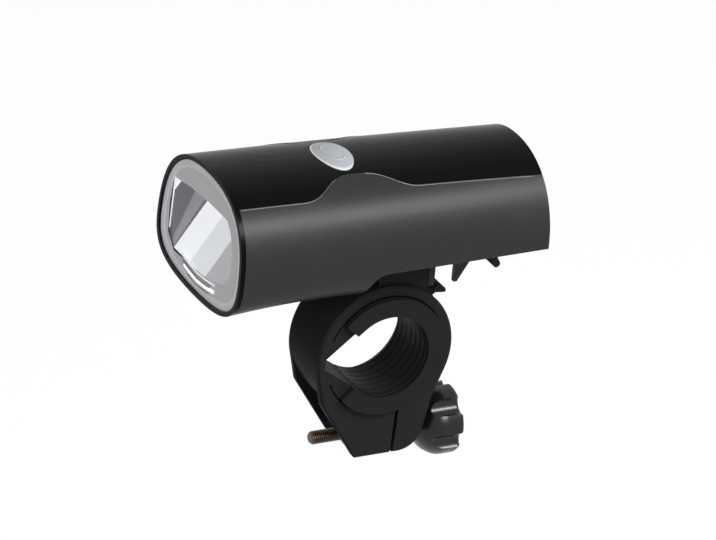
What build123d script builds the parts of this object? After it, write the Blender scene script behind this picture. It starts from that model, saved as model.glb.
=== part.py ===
from build123d import *
import math
import os

os.makedirs("parts", exist_ok=True)

# Bicycle headlight on a handlebar clamp.
# Origin at the centre of the handlebar bore, X along the bar, -Y the way the light shines, Z up.

# Handlebar clamp
bar_diameter = 31.8
liner_wall = 4.6
ring_wall = 6.2
ring_width = 24.4
ring_edge = 0.8
ring_gap = 1.5
ring_gap_top_y = 7.1
ring_gap_bottom_y = 5.6
ring_gap_foot = 1.0
lug_drop = 40.6
lug_knee_y = -23.6
lug_knee_z = -17.2
lug_knee_round = 5.0
lug_toe_y = -8.8
lug_toe_round = 1.6
lug_back_y = 16.4
lug_back_lean = 4.4
lug_back_top_z = -20.0
lug_heel_round = 9.5
lug_rib = 3.0
lug_web_front_y = -5.0

# Rubber liner of the clamp
liner_tip_y = -23.4
liner_tip_rise = 1.6
liner_tip_fall = 2.8
liner_flap = 1.8
liner_clearance = 0.3
flange_reach = 6.75
flange_thickness = 2.5
flange_start_angle = -140.0
flange_end_angle = 141.0
groove_count = 6
groove_depth = 0.7
groove_width = 1.3

# Clamping screw, nut and knob
screw_diameter = 5.0
screw_z = -36.4
screw_tip_y = -21.2
screw_length = 50.0
screw_tip_chamfer = 0.6
screw_clearance = 0.05
screw_hole_clearance = 0.3
screw_head_across = 8.0
screw_head_thickness = 3.4
nut_across = 8.0
nut_thickness = 4.0
nut_recess = 1.2
nut_clearance = 0.1
knob_seat_y = 18.6
washer_diameter = 9.0
washer_thickness = 1.2
knob_radius = 13.2
knob_front_radius = 6.4
knob_length = 15.2
knob_bowl_length = 9.6
knob_bowl_lean = 2.6
knob_bowl_rise = 4.9
knob_bowl_radius = 9.9
knob_lobes = 6
knob_valley_angle = 44.0
knob_scallop_radius = 3.6
knob_scallop_depth = 2.4
knob_round = 1.6

# Saddle that carries the lamp
shoe_base_half_width = 10.0
shoe_base_front_y = -4.0
shoe_base_top_z = 31.2
shoe_half_width = 8.6
shoe_front_y = -5.6
shoe_back_y = 15.6
shoe_top_z = 39.6
shoe_wall = 2.4
shoe_floor = 3.6
shoe_cheek = 2.0
hook_bar_diameter = 5.0
hook_bar_y = -11.0
hook_bar_z = 36.0
hook_bar_wall = 2.0
shoe_screw_diameter = 4.0
shoe_screw_head_diameter = 7.6
shoe_screw_head_height = 2.6
shoe_screw_head_round = 0.8
shoe_screw_y = 3.0
shoe_screw_clearance = 0.15
shoe_screw_end_cover = 0.8
shoe_tail_thickness = 1.3
shoe_tail_y = 20.4

# Release tongue behind the saddle
tongue_half_width = 6.0
tongue_nose_half_width = 3.5
tongue_bead_radius = 1.0
tongue_bead_y = 20.4
tongue_bead_z = 19.0
tongue_rise_y = 20.3
tongue_nose_y = 19.3
tongue_nose_z = 24.9
tongue_nose_thickness = 1.5
tongue_nose_round = 0.3
tongue_tab_root_z = 21.4
tongue_tab_y = 25.6
tongue_tab_z = 19.0
tongue_tab_thickness = 0.9
tongue_ridges = 4
tongue_ridge_radius = 0.4

# Lamp shell
shell_front_y = -70.6
shell_middle_y = -12.0
front_lean = 3.24
front_half_width = 33.95
front_top_z = 77.1
front_bottom_z = 28.7
middle_taper = 1.7
middle_top_z = 75.9
middle_bottom_z = 29.0
rear_taper = 3.4
rear_top_z = 74.2
rear_bottom_z = 16.7
underside_z = 42.9
step_start_y = -27.0
step_end_y = -11.8
shell_wall = 2.2
front_section = (0.64, 0.68, 0.68, 0.86, 0.64)
middle_section = (0.57, 0.68, 0.60, 0.82, 0.74)
rear_section = (0.52, 0.72, 0.50, 0.80, 0.80)

# Top cover, its outline seen from above
cover_front_half_width = 22.8
cover_neck_half_width = 13.4
cover_rear_half_width = 20.6
cover_shoulder_y = -43.0
cover_neck_front_y = -21.0
cover_neck_back_y = -17.5
cover_back_y = 3.0
cover_lap_z = 50.0
seam_gap = 0.25

# Keel under the lamp
keel_half_width = 11.2
keel_front_y = -15.5
keel_bottom_z = 32.0
keel_wall = 1.8
keel_duct_end = 6.0
keel_clearance = 0.4
post_half_width = 9.0
post_front_y = 16.4
post_thickness = 2.4
post_bottom_z = 23.2
post_lip = 1.0
post_lip_drop = 1.0
tooth_front_y = 31.2
tooth_tip_z = 18.8
tooth_tip_length = 1.3
tooth_root_length = 9.4
tooth_thickness = 1.8

# Front end
bezel_depth = 1.8
bezel_rim = 1.6
bezel_step = 1.8
bezel_spigot = 3.0
fit_gap = 0.1
lens_recess = 0.2
lens_thickness = 1.2
lens_clearance = 0.15
seal_thickness = 1.0
seal_width = 1.0

# Reflector and light source
reflector_wall = 1.4
reflector_flange = 1.2
reflector_mouth_gap = 0.8
reflector_back_y = -40.0
reflector_back_half_width = 11.5
reflector_back_height = 20.0
reflector_facets = 3
led_z = 56.0
led_hole_diameter = 7.0
led_board_diameter = 20.0
led_board_thickness = 1.6
led_chip_side = 3.4
led_chip_height = 0.9
led_dome_diameter = 2.6
heat_sink_width = 26.0
heat_sink_height = 22.0
heat_sink_thickness = 2.0
heat_sink_fins = 5
heat_sink_fin_length = 2.4
heat_sink_fin_thickness = 1.4

# Button and circuit board
button_y = -21.8
button_half_length = 11.4
button_half_width = 6.6
button_rise = 1.2
button_dome_height = 3.5
button_end_margin = 0.8
button_side_margin = 2.6
button_clearance = 0.35
button_skin = 1.6
button_flange = 1.0
button_stem_diameter = 3.6
button_travel = 0.7
board_half_width = 6.9
board_front_y = -31.8
board_back_y = -11.8
board_top_z = 67.0
board_thickness = 1.6
board_post_radius = 1.3
board_post_inset = 1.6
switch_side = 6.0
switch_height = 2.6
switch_plunger_diameter = 3.2
switch_plunger_height = 3.4
switch_bore_depth = 2.0
indicator_side = 1.6
indicator_height = 1.0
indicator_x = 4.9

# Battery bay
cell_diameter = 14.5
cell_length = 49.2
cell_tip_diameter = 5.5
cell_tip_length = 1.3
cell_lower_x = 10.6
cell_upper_rise = 10.6
cell_clearance = 0.35
bay_front_gap = 9.2
cradle_floor = 0.9
cradle_half_width = 19.6
cradle_height = 13.0
cradle_end = 1.6
contact_thickness = 0.4
contact_gap = 0.3
contact_diameter = 5.4
spring_diameter = 8.4
spring_wire = 0.9
spring_length = 4.6
spring_turns = 3
spring_wire_sides = 6

# Battery door at the rear end
door_thickness = 2.4
door_recess = 0.4
door_clearance = 0.35
door_pin_diameter = 1.6
door_pin_drop = 3.0
door_knuckle_wall = 0.9
door_knuckle_gap = 0.4
door_knuckle_half_width = 7.0
door_ear_thickness = 2.4
door_sill_z = 35.6
door_sill_half_width = 8.0
door_sill_step = 0.9

# Finger latch of the door
latch_half_width = 3.4
latch_pin_diameter = 2.0
latch_pin_setback = 8.3
latch_pin_z = 34.2
latch_boss_wall = 1.1
latch_nose_height = 1.2
latch_nose_length = 0.8
latch_arm_thickness = 1.8
latch_pad_reach = 5.4
latch_pad_top_z = 28.6
latch_tip_setback = 4.6
latch_tip_z = 24.8
latch_tip_round = 1.4
latch_heel_z = 27.6
latch_side_gap = 0.4

# Screws that hold the cover
case_screw_diameter = 3.0
case_screw_head_diameter = 5.4
case_screw_head_height = 2.0
case_screw_length = 12.0
case_screw_end_gap = 1.0
case_screw_x = 10.4
case_screw_y = -30.6
case_pillar_radius = 3.0
case_joint_z = 60.0
case_seat = 3.0
case_hole_clearance = 0.2

overrun = 6.0

# Derived sizes
bar_radius = bar_diameter / 2
ring_inner = bar_radius + liner_wall
ring_outer = ring_inner + ring_wall
ring_half = ring_width / 2
screw_radius = screw_diameter / 2
shell_start_y = shell_front_y + bezel_depth
front_rise = (front_top_z - front_bottom_z) / 2 * math.sin(math.radians(front_lean))
middle_half_width = front_half_width - middle_taper
rear_half_width = front_half_width - rear_taper
floor_z = underside_z + shell_wall
cell_front_y = board_back_y + bay_front_gap
cell_rear_y = cell_front_y + cell_length + cell_tip_length
door_inner_y = cell_rear_y + contact_gap + contact_thickness
door_outer_y = door_inner_y + door_thickness
shell_rear_y = door_outer_y + door_recess
latch_pin_y = shell_rear_y - latch_pin_setback
latch_tip_y = shell_rear_y - latch_tip_setback
door_pin_z = rear_top_z - shell_wall - door_pin_drop
door_knuckle_radius = door_pin_diameter / 2 + door_knuckle_wall
cell_lower_z = floor_z + cradle_floor + cell_clearance + cell_diameter / 2
cell_upper_z = cell_lower_z + cell_upper_rise
cell_places = ((-cell_lower_x, cell_lower_z), (cell_lower_x, cell_lower_z), (0, cell_upper_z))


forms = {}


# Solid of a side view drawn as (y, z), equally wide each way along X
def side_solid(outline, half, x=0):
    return Pos(x, 0, 0) * extrude(Plane.YZ * outline, amount=half, both=True)


def rod_x(radius, half, y=0, z=0, x=0):
    return side_solid(Pos(y, z) * Circle(radius), half, x)


# Solid of a front view drawn as (x, z), between two places along Y
def front_solid(outline, start, end):
    return Pos(0, start, 0) * extrude(Plane.XZ * outline, amount=start - end)


def rod_y(radius, start, end, x=0, z=0):
    return front_solid(Pos(x, z) * Circle(radius), start, end)


def hexagon_y(across, start, end, z):
    outline = Pos(0, z) * RegularPolygon(across / 2, 6, major_radius=False)
    return front_solid(outline, start, end)


def rod_z(radius, start, end, x=0, y=0):
    return Pos(x, y, start) * extrude(Circle(radius), amount=end - start)


def block(x0, x1, y0, y1, z0, z1):
    place = Pos((x0 + x1) / 2, (y0 + y1) / 2, (z0 + z1) / 2)
    return place * Box(x1 - x0, y1 - y0, z1 - z0)


def polygon(points):
    return make_face(Polyline(*points, close=True))


def save(name, shape):
    pieces = shape.solids()
    shape = pieces[0] if len(pieces) == 1 else Compound(children=list(pieces))
    shape.label = name
    export_step(shape, f"parts/{name}.step")


# Point where a line from a place outside a circle about the origin touches that circle
def tangent_point(place, radius, turn):
    angle = math.atan2(place[1], place[0]) + turn * math.acos(radius / math.hypot(*place))
    return (radius * math.cos(angle), radius * math.sin(angle))


# Circle about the bar with a pointed front, which ends at two places above and below
def drop_outline(radius, upper, lower):
    upper_touch = tangent_point(upper, radius, -1)
    lower_touch = tangent_point(lower, radius, 1)
    return Circle(radius) + polygon([(0, 0), upper_touch, upper, lower, lower_touch])


def liner_cavity():
    reach = liner_flap + liner_clearance
    front = liner_tip_y - liner_clearance
    return drop_outline(ring_inner, (front, liner_tip_rise + reach), (front, -liner_tip_fall - reach))


def bore_outline():
    return drop_outline(bar_radius, (liner_tip_y, liner_tip_rise), (liner_tip_y, -liner_tip_fall))


def lug_outline():
    knee = (lug_knee_y, lug_knee_z)
    toe = (lug_toe_y, -lug_drop)
    heel = (lug_back_y, -lug_drop)
    shoulder = (lug_back_y + lug_back_lean, lug_back_top_z)
    front = tangent_point(knee, ring_outer, -1)
    back = tangent_point(shoulder, ring_outer, 1)
    outline = polygon([(0, 0), front, knee, toe, heel, shoulder, back])
    for place, radius in ((knee, lug_knee_round), (toe, lug_toe_round), (heel, lug_heel_round)):
        corner = outline.vertices().sort_by_distance((*place, 0))[0]
        outline = fillet(corner, radius)
    return outline


def clamp_ring():
    body = side_solid(Circle(ring_outer) + lug_outline(), ring_half)
    body = chamfer(body.faces().filter_by(Axis.X).edges(), ring_edge)
    body += rod_y(lug_drop + screw_z, 0, knob_seat_y, z=screw_z)
    body -= side_solid(liner_cavity(), ring_width)
    slot = polygon([
        (ring_gap_top_y - ring_gap / 2, -bar_radius),
        (ring_gap_top_y + ring_gap / 2, -bar_radius),
        (ring_gap_bottom_y + ring_gap_foot / 2, -lug_drop - overrun),
        (ring_gap_bottom_y - ring_gap_foot / 2, -lug_drop - overrun)])
    body -= side_solid(slot, ring_width)
    inside = ring_half - lug_rib
    recess = block(-inside, inside, -ring_outer - overrun, lug_web_front_y, -lug_drop - overrun, 0)
    body -= recess - rod_x(ring_outer, ring_width)
    spot_face = washer_diameter / 2 + screw_hole_clearance
    body -= rod_y(spot_face, knob_seat_y, knob_seat_y + overrun, z=screw_z)
    hole = screw_radius + screw_hole_clearance
    body -= rod_y(hole, -ring_outer, knob_seat_y + overrun, z=screw_z)
    nut_pocket = nut_across + 2 * nut_clearance
    body -= hexagon_y(nut_pocket, lug_web_front_y - overrun, lug_web_front_y + nut_recess, screw_z)
    body -= rod_z(shoe_screw_diameter / 2 + screw_clearance, 0, ring_outer + overrun, y=shoe_screw_y)
    return body


def bar_liner():
    body = side_solid(liner_cavity(), ring_half)
    reach = bar_radius + flange_reach
    flange = Circle(reach) - polygon([
        (0, 0),
        *[(2 * reach * math.cos(math.radians(a)), 2 * reach * math.sin(math.radians(a)))
          for a in (flange_end_angle, 180, 360 + flange_start_angle)]])
    for side in (-1, 1):
        body += side_solid(flange, flange_thickness / 2, side * (ring_half + flange_thickness / 2))
    body -= side_solid(bore_outline(), ring_width)
    tip = polygon([
        (liner_tip_y - overrun, liner_tip_rise), (liner_tip_y + liner_clearance, liner_tip_rise),
        (liner_tip_y + liner_clearance, -liner_tip_fall), (liner_tip_y - overrun, -liner_tip_fall)])
    body -= side_solid(tip, ring_width)
    pitch = ring_width / groove_count
    for i in range(groove_count):
        x = (i - (groove_count - 1) / 2) * pitch
        body -= rod_x(bar_radius + groove_depth, groove_width / 2, x=x)
    return body


def clamp_screw():
    end = screw_tip_y + screw_length
    shank = rod_y(screw_radius, screw_tip_y, end, z=screw_z)
    tip = shank.edges().sort_by(Axis.Y)[0]
    shank = chamfer(tip, screw_tip_chamfer)
    return shank + hexagon_y(screw_head_across, end, end + screw_head_thickness, screw_z)


def clamp_nut():
    back = lug_web_front_y + nut_recess
    nut = hexagon_y(nut_across, back - nut_thickness, back, screw_z)
    return nut - rod_y(screw_radius + screw_clearance, back - nut_thickness, back, z=screw_z)


def knob_washer():
    start, end = knob_seat_y, knob_seat_y + washer_thickness
    disc = rod_y(washer_diameter / 2, start, end, z=screw_z)
    return disc - rod_y(screw_radius + screw_clearance, start, end, z=screw_z)


def thumb_knob():
    front = knob_seat_y + washer_thickness
    back = front + knob_length
    bowl = Bezier(
        (knob_front_radius, front), (knob_bowl_radius, front + knob_bowl_lean),
        (knob_radius, front + knob_bowl_rise), (knob_radius, front + knob_bowl_length))
    rest = Polyline(bowl @ 1, (knob_radius, back), (0, back), (0, front), bowl @ 0)
    body = revolve(make_face([bowl, rest]), Axis.Y)
    scallop = knob_radius + knob_scallop_radius - knob_scallop_depth
    for i in range(knob_lobes):
        angle = math.radians(knob_valley_angle) + 2 * math.pi * i / knob_lobes
        x, z = scallop * math.cos(angle), scallop * math.sin(angle)
        body -= rod_y(knob_scallop_radius, front - overrun, back + overrun, x, z)
    body = fillet(body.faces().sort_by(Axis.Y)[-1].edges(), knob_round)
    head = screw_tip_y + screw_length
    body = Pos(0, 0, screw_z) * body
    body -= rod_y(screw_radius + screw_clearance, front - overrun, head, z=screw_z)
    return body - hexagon_y(screw_head_across + screw_clearance, head, back + overrun, screw_z)


def mount_shoe():
    half, base = shoe_half_width, shoe_base_half_width
    body = block(-base, base, shoe_base_front_y, shoe_back_y, 0, shoe_base_top_z)
    body += block(-half, half, shoe_front_y, shoe_back_y, shoe_base_top_z, shoe_top_z)
    cheeks = polygon([
        (shoe_front_y, shoe_top_z), (hook_bar_y, hook_bar_z + hook_bar_diameter / 2),
        (hook_bar_y, hook_bar_z - hook_bar_diameter / 2), (shoe_front_y, shoe_base_top_z)])
    cheeks += Pos(hook_bar_y, hook_bar_z) * Circle(hook_bar_diameter / 2)
    body += side_solid(cheeks, half) - side_solid(cheeks, half - shoe_cheek)
    body += rod_x(hook_bar_diameter / 2, half, hook_bar_y, hook_bar_z)
    floor = ring_outer + shoe_floor
    body -= block(-half + shoe_wall, half - shoe_wall, shoe_front_y + shoe_wall,
                  shoe_back_y - shoe_wall, floor, shoe_top_z + overrun)
    tail = rod_x(ring_outer + shoe_tail_thickness, tongue_half_width)
    body += tail & block(-half, half, shoe_base_front_y, shoe_tail_y, 0, shoe_base_top_z)
    body -= rod_x(ring_outer, ring_width)
    body -= block(-base, base, 0, shoe_back_y - shoe_wall, -ring_outer, 0)
    body -= rod_z(shoe_screw_diameter / 2 + shoe_screw_clearance, 0, floor, y=shoe_screw_y)
    return body - rod_x(tongue_bead_radius + screw_clearance, base, tongue_bead_y, tongue_bead_z)


def shoe_screw():
    floor = ring_outer + shoe_floor
    head = rod_z(shoe_screw_head_diameter / 2, floor, floor + shoe_screw_head_height, y=shoe_screw_y)
    head = fillet(head.edges().sort_by(Axis.Z)[-1], shoe_screw_head_round)
    end = ring_inner + shoe_screw_end_cover
    return head + rod_z(shoe_screw_diameter / 2, end, floor, y=shoe_screw_y)


def release_tongue():
    thick = tongue_nose_thickness
    back = tongue_rise_y + thick
    arm = polygon([
        (tongue_bead_y, tongue_bead_z), (tongue_rise_y, tongue_bead_z + tongue_bead_radius),
        (tongue_rise_y, tongue_nose_z - thick), (tongue_nose_y, tongue_nose_z - thick),
        (tongue_rise_y + tongue_nose_round, tongue_nose_z), (back, tongue_nose_z - thick / 2),
        (back, tongue_bead_z)])
    root, tip = (back, tongue_tab_root_z), (tongue_tab_y, tongue_tab_z)
    tab = polygon([
        (tongue_bead_y, tongue_bead_z), (tongue_bead_y, tongue_bead_z + tongue_bead_radius), root, tip,
        (tongue_tab_y - tongue_tab_thickness / 2, tongue_tab_z - tongue_tab_thickness),
        (tongue_bead_y + tongue_bead_radius, tongue_bead_z - tongue_bead_radius / 2)])
    body = side_solid(arm, tongue_nose_half_width) + side_solid(tab, tongue_half_width)
    body += rod_x(tongue_bead_radius, tongue_half_width, tongue_bead_y, tongue_bead_z)
    for i in range(tongue_ridges):
        share = (i + 1) / (tongue_ridges + 1)
        y, z = [a + share * (b - a) for a, b in zip(root, tip)]
        body += rod_x(tongue_ridge_radius, tongue_half_width, y, z)
    return body


# Right-hand edges of an outline: its waist's share of the height, and how full it is above and below
def shell_edges(half, top, bottom, section, inset):
    share, upper_run, upper_rise, lower_run, lower_rise = section
    width, high, low = half - inset, top - inset, bottom + inset
    waist = high - share * (high - low)
    edges = []
    for end, run, rise in ((high, upper_run, upper_rise), (low, lower_run, lower_rise)):
        edges.append(Bezier((0, end), (run * width, end), (width, waist + rise * (end - waist)),
                            (width, waist)))
    return edges


# Closed outline of the shell at one place along Y
def shell_section(y, inset):
    right = shell_edges(*shell_sizes(y), inset)
    left = [mirror(edge, Plane.YZ) for edge in right]
    return Pos(0, y, 0) * (Plane.XZ * make_face(right + left))


# The shell's half width, top, bottom and outline at a place along Y, between its three given sections
def shell_sizes(y):
    front = (shell_front_y, front_half_width, front_top_z, front_bottom_z, *front_section)
    middle = (shell_middle_y, middle_half_width, middle_top_z, middle_bottom_z, *middle_section)
    rear = (shell_rear_y, rear_half_width, rear_top_z, rear_bottom_z, *rear_section)
    first, last = (front, middle) if y < shell_middle_y else (middle, rear)
    share = (y - first[0]) / (last[0] - first[0])
    half, top, bottom, *section = [a + share * (b - a) for a, b in zip(first[1:], last[1:])]
    return half, top, bottom, section


# The shell's full form, drawn in by an inset and running past both ends
def shell_form(inset):
    if inset not in forms:
        places = (shell_front_y - overrun, shell_middle_y, shell_rear_y + overrun)
        forms[inset] = loft([shell_section(y, inset) for y in places])
    return forms[inset]


# Slab between two places along Y, which leans back as the lens does
def leaning_slab(start, end):
    wide = front_half_width + overrun
    middle_z = (front_top_z + front_bottom_z) / 2
    slab = block(-wide, wide, start - shell_front_y, end - shell_front_y, -front_top_z, front_top_z)
    return Pos(0, shell_front_y, middle_z) * Rot(-front_lean, 0, 0) * slab


# The part of that form between two places along Y, leaning at the front end of the lamp
def front_slice(start, end, inset):
    return shell_form(inset) & leaning_slab(start, end)


def shell_slice(start, end, inset):
    wide = front_half_width + overrun
    return shell_form(inset) & block(-wide, wide, start, end, 0, front_top_z + overrun)


# What is cut away below the lamp: the step behind the head and the level stretch to the rear
def underside_cutter(raise_by=0):
    low = min(front_bottom_z, rear_bottom_z) - overrun
    start_z = front_bottom_z - shell_wall
    end_z = underside_z + raise_by
    step = Spline((step_start_y, start_z + raise_by), (step_end_y, end_z), tangents=((1, 0), (1, 0)))
    far = shell_rear_y + overrun
    rest = Polyline((step_end_y, end_z), (far, end_z), (far, low), (step_start_y, low),
                    (step_start_y, start_z + raise_by))
    return side_solid(make_face([step, rest]), front_half_width + overrun)


# Plan outline of the top cover, raised through the shell
def cover_prism(grow):
    shoulder, neck, back = (w + grow for w in
                            (cover_front_half_width, cover_neck_half_width, cover_rear_half_width))
    along = ((0, 1), (0, 1))
    right = [
        Line((shoulder, shell_front_y - overrun), (shoulder, cover_shoulder_y)),
        Spline((shoulder, cover_shoulder_y), (neck, cover_neck_front_y), tangents=along),
        Line((neck, cover_neck_front_y), (neck, cover_neck_back_y)),
        Spline((neck, cover_neck_back_y), (back, cover_back_y), tangents=along),
        Line((back, cover_back_y), (back, shell_rear_y + overrun))]
    left = [mirror(edge, Plane.YZ) for edge in right]
    front = Line(left[0] @ 0, right[0] @ 0)
    rear = Line(left[-1] @ 1, right[-1] @ 1)
    outline = make_face([front, *right, rear, *left])
    return Pos(0, 0, cover_lap_z) * extrude(outline, amount=front_top_z)


def button_prism(grow):
    outline = Pos(0, button_y) * Ellipse(button_half_length + grow, button_half_width + grow)
    return Pos(0, 0, board_top_z) * extrude(outline, amount=front_top_z - board_top_z + overrun)


def shell_solid():
    outer = shell_slice(shell_front_y - overrun, shell_rear_y, 0) - underside_cutter()
    outer -= leaning_slab(shell_front_y - 2 * overrun, shell_start_y)
    return outer - (shell_form(shell_wall) - underside_cutter(shell_wall))


def case_screw_places():
    return [(side * case_screw_x, case_screw_y) for side in (-1, 1)]


def board_post_places():
    x = board_half_width - board_post_inset
    ends = (board_front_y + board_post_inset, board_back_y - board_post_inset)
    return [(side * x, y) for side in (-1, 1) for y in ends]


def top_cover(shell, inner):
    body = shell & cover_prism(0)
    for x, y in case_screw_places():
        boss = rod_z(case_pillar_radius, case_joint_z, front_top_z, x, y) & inner
        body += boss
        body -= rod_z(case_screw_diameter / 2 + screw_clearance, case_joint_z - overrun,
                      case_joint_z - case_seat + case_screw_length + case_screw_end_gap, x, y)
    for x, y in board_post_places():
        body += rod_z(board_post_radius, board_top_z, front_top_z, x, y) & inner
    half = door_ear_thickness / 2
    for side in (-1, 1):
        x = side * (door_knuckle_half_width + door_knuckle_gap + half)
        ear = block(x - half, x + half, door_inner_y, shell_rear_y, door_pin_z - door_knuckle_radius,
                    rear_top_z)
        body += ear & inner
        body += rod_x(door_knuckle_radius, half, shell_rear_y, door_pin_z, x)
    hole = door_pin_diameter / 2 + screw_clearance
    body -= rod_x(hole, cover_neck_half_width, shell_rear_y, door_pin_z)
    return body - button_prism(button_clearance)


def keel():
    half, inside = keel_half_width, shoe_half_width + keel_clearance
    rear = door_inner_y - door_clearance
    body = block(-half, half, keel_front_y, rear, keel_bottom_z, floor_z)
    body -= block(-inside, inside, keel_front_y - overrun, post_front_y, keel_bottom_z - overrun,
                  underside_z)
    duct_front = post_front_y + post_thickness + keel_wall
    slot = latch_half_width + latch_side_gap
    duct_back = latch_pin_y - latch_pin_diameter - keel_duct_end
    body -= block(-inside, inside, duct_front, duct_back, keel_bottom_z + keel_wall,
                  floor_z + overrun)
    body -= block(-slot, slot, duct_back + keel_wall, rear + overrun, keel_bottom_z - overrun,
                  underside_z)
    body -= rod_x(latch_pin_diameter / 2 + screw_clearance, inside, latch_pin_y, latch_pin_z)
    post_back = post_front_y + post_thickness
    body += block(-post_half_width, post_half_width, post_front_y, post_back, post_bottom_z,
                  keel_bottom_z)
    lip = tongue_nose_half_width + keel_clearance
    body += block(-lip, lip, post_back - post_lip, post_back + post_lip,
                  post_bottom_z - post_lip_drop, post_bottom_z)
    tooth = polygon([
        (tooth_front_y, keel_bottom_z + keel_wall), (tooth_front_y, tooth_tip_z),
        (tooth_front_y + tooth_tip_length, tooth_tip_z),
        (tooth_front_y + tooth_root_length, keel_bottom_z),
        (tooth_front_y + tooth_root_length, keel_bottom_z + keel_wall)])
    return body + side_solid(tooth, tooth_thickness / 2)


# Jaw that hangs on the saddle's bar, open below and behind
def hook_jaw():
    hole = hook_bar_diameter / 2 + fit_gap
    outer = hole + hook_bar_wall
    half = shoe_half_width - shoe_cheek - keel_clearance
    body = rod_x(outer, half, hook_bar_y, hook_bar_z)
    body += block(-half, half, hook_bar_y - outer, hook_bar_y + outer, hook_bar_z, floor_z)
    body -= rod_x(hole, half, hook_bar_y, hook_bar_z)
    return body - block(-half, half, hook_bar_y, hook_bar_y + outer + overrun,
                        hook_bar_z - outer, hook_bar_z + hole / 2)


def lower_housing(shell, inner):
    body = shell - cover_prism(seam_gap)
    body += keel()
    body += hook_jaw()
    for x, y in case_screw_places():
        pillar = rod_z(case_pillar_radius, 0, case_joint_z - fit_gap, x, y) & inner
        body += pillar
        body -= rod_z(case_screw_head_diameter / 2 + case_hole_clearance, 0,
                      case_joint_z - case_seat, x, y)
        body -= rod_z(case_screw_diameter / 2 + case_hole_clearance, 0, case_joint_z, x, y)
    sill = door_sill_half_width + door_clearance
    return body - block(-sill, sill, door_inner_y - door_clearance, shell_rear_y + overrun,
                        0, floor_z + overrun)


def cover_screws():
    screws = []
    for x, y in case_screw_places():
        seat = case_joint_z - case_seat
        screw = rod_z(case_screw_head_diameter / 2, seat - case_screw_head_height, seat, x, y)
        screw += rod_z(case_screw_diameter / 2, seat, seat + case_screw_length, x, y)
        screws.append(screw)
    return screws[0] + screws[1]


def front_bezel():
    body = front_slice(shell_front_y, shell_start_y, 0)
    seat = shell_front_y + lens_recess + lens_thickness
    body -= front_slice(shell_front_y - overrun, seat, bezel_rim)
    tunnel = bezel_rim + bezel_step
    spigot = shell_wall + fit_gap
    body += front_slice(shell_start_y, shell_start_y + bezel_spigot, spigot)
    return body - front_slice(seat, shell_start_y + bezel_spigot + overrun, tunnel)


def front_lens():
    start = shell_front_y + lens_recess
    return front_slice(start, start + lens_thickness, bezel_rim + lens_clearance)


def lens_seal():
    start = shell_start_y + bezel_spigot
    inset = shell_wall + fit_gap
    ring = front_slice(start, start + seal_thickness, inset)
    return ring - front_slice(start - overrun, start + seal_thickness + overrun, inset + seal_width)


# Faceted bowl between the lens and the light source
def reflector_bowl(front_y, back_y, inset):
    half, top, bottom, section = shell_sizes(front_y)
    edge = bezel_rim + bezel_step + reflector_mouth_gap
    height = reflector_back_height / 2
    ends = ((front_y, half - edge, top - edge, bottom + edge),
            (back_y, reflector_back_half_width, led_z + height, led_z - height))
    faces = []
    for y, width, high, low in ends:
        upper, lower = shell_edges(width, high, low, section, inset)
        steps = [i / reflector_facets for i in range(reflector_facets)]
        right = [upper @ share for share in steps] + [lower @ (1 - share) for share in steps]
        right.append(lower @ 0)
        places = [(point.X, point.Y) for point in right]
        left = [(-x, z) for x, z in reversed(places[1:-1])]
        faces.append(Pos(0, y, 0) * (Plane.XZ * polygon(places + left)))
    return loft(faces, ruled=True)


def reflector():
    mouth = shell_front_y + lens_recess + lens_thickness + front_rise + reflector_mouth_gap
    body = reflector_bowl(mouth, reflector_back_y, 0)
    flange = shell_start_y + bezel_spigot + seal_thickness
    body += front_slice(flange, flange + reflector_flange, shell_wall + fit_gap)
    body -= reflector_bowl(mouth, reflector_back_y - reflector_wall, reflector_wall)
    return body - rod_y(led_hole_diameter / 2, reflector_back_y - overrun, reflector_back_y, z=led_z)


def led_board():
    return rod_y(led_board_diameter / 2, reflector_back_y, reflector_back_y + led_board_thickness,
                 z=led_z)


def led_chip():
    half = led_chip_side / 2
    front = reflector_back_y - led_chip_height
    body = block(-half, half, front, reflector_back_y, led_z - half, led_z + half)
    return body + Pos(0, front, led_z) * (Sphere(led_dome_diameter / 2) & block(
        -half, half, -half, 0, -half, half))


def heat_sink():
    start = reflector_back_y + led_board_thickness
    back = start + heat_sink_thickness
    x, z = heat_sink_width / 2, heat_sink_height / 2
    body = block(-x, x, start, back, led_z - z, led_z + z)
    pitch = (heat_sink_width - heat_sink_fin_thickness) / (heat_sink_fins - 1)
    for i in range(heat_sink_fins):
        left = -x + i * pitch
        body += block(left, left + heat_sink_fin_thickness, back, back + heat_sink_fin_length,
                      led_z - z, led_z + z)
    return body


def circuit_board():
    return block(-board_half_width, board_half_width, board_front_y, board_back_y,
                 board_top_z - board_thickness, board_top_z)


def switch_top():
    return board_top_z + switch_height


def tact_switch():
    half = switch_side / 2
    body = block(-half, half, button_y - half, button_y + half, board_top_z, switch_top())
    return body - rod_z(switch_plunger_diameter / 2 + fit_gap, switch_top() - switch_bore_depth,
                        switch_top() + overrun, y=button_y)


def plunger_start():
    return switch_top() - switch_bore_depth + button_travel + fit_gap


def switch_plunger():
    start = plunger_start()
    return rod_z(switch_plunger_diameter / 2, start, start + switch_plunger_height, y=button_y)


def indicator_leds():
    half = indicator_side / 2
    lights = [block(x - half, x + half, button_y - half, button_y + half,
                    board_top_z, board_top_z + indicator_height)
              for x in (-indicator_x, indicator_x)]
    return lights[0] + lights[1]


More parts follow.
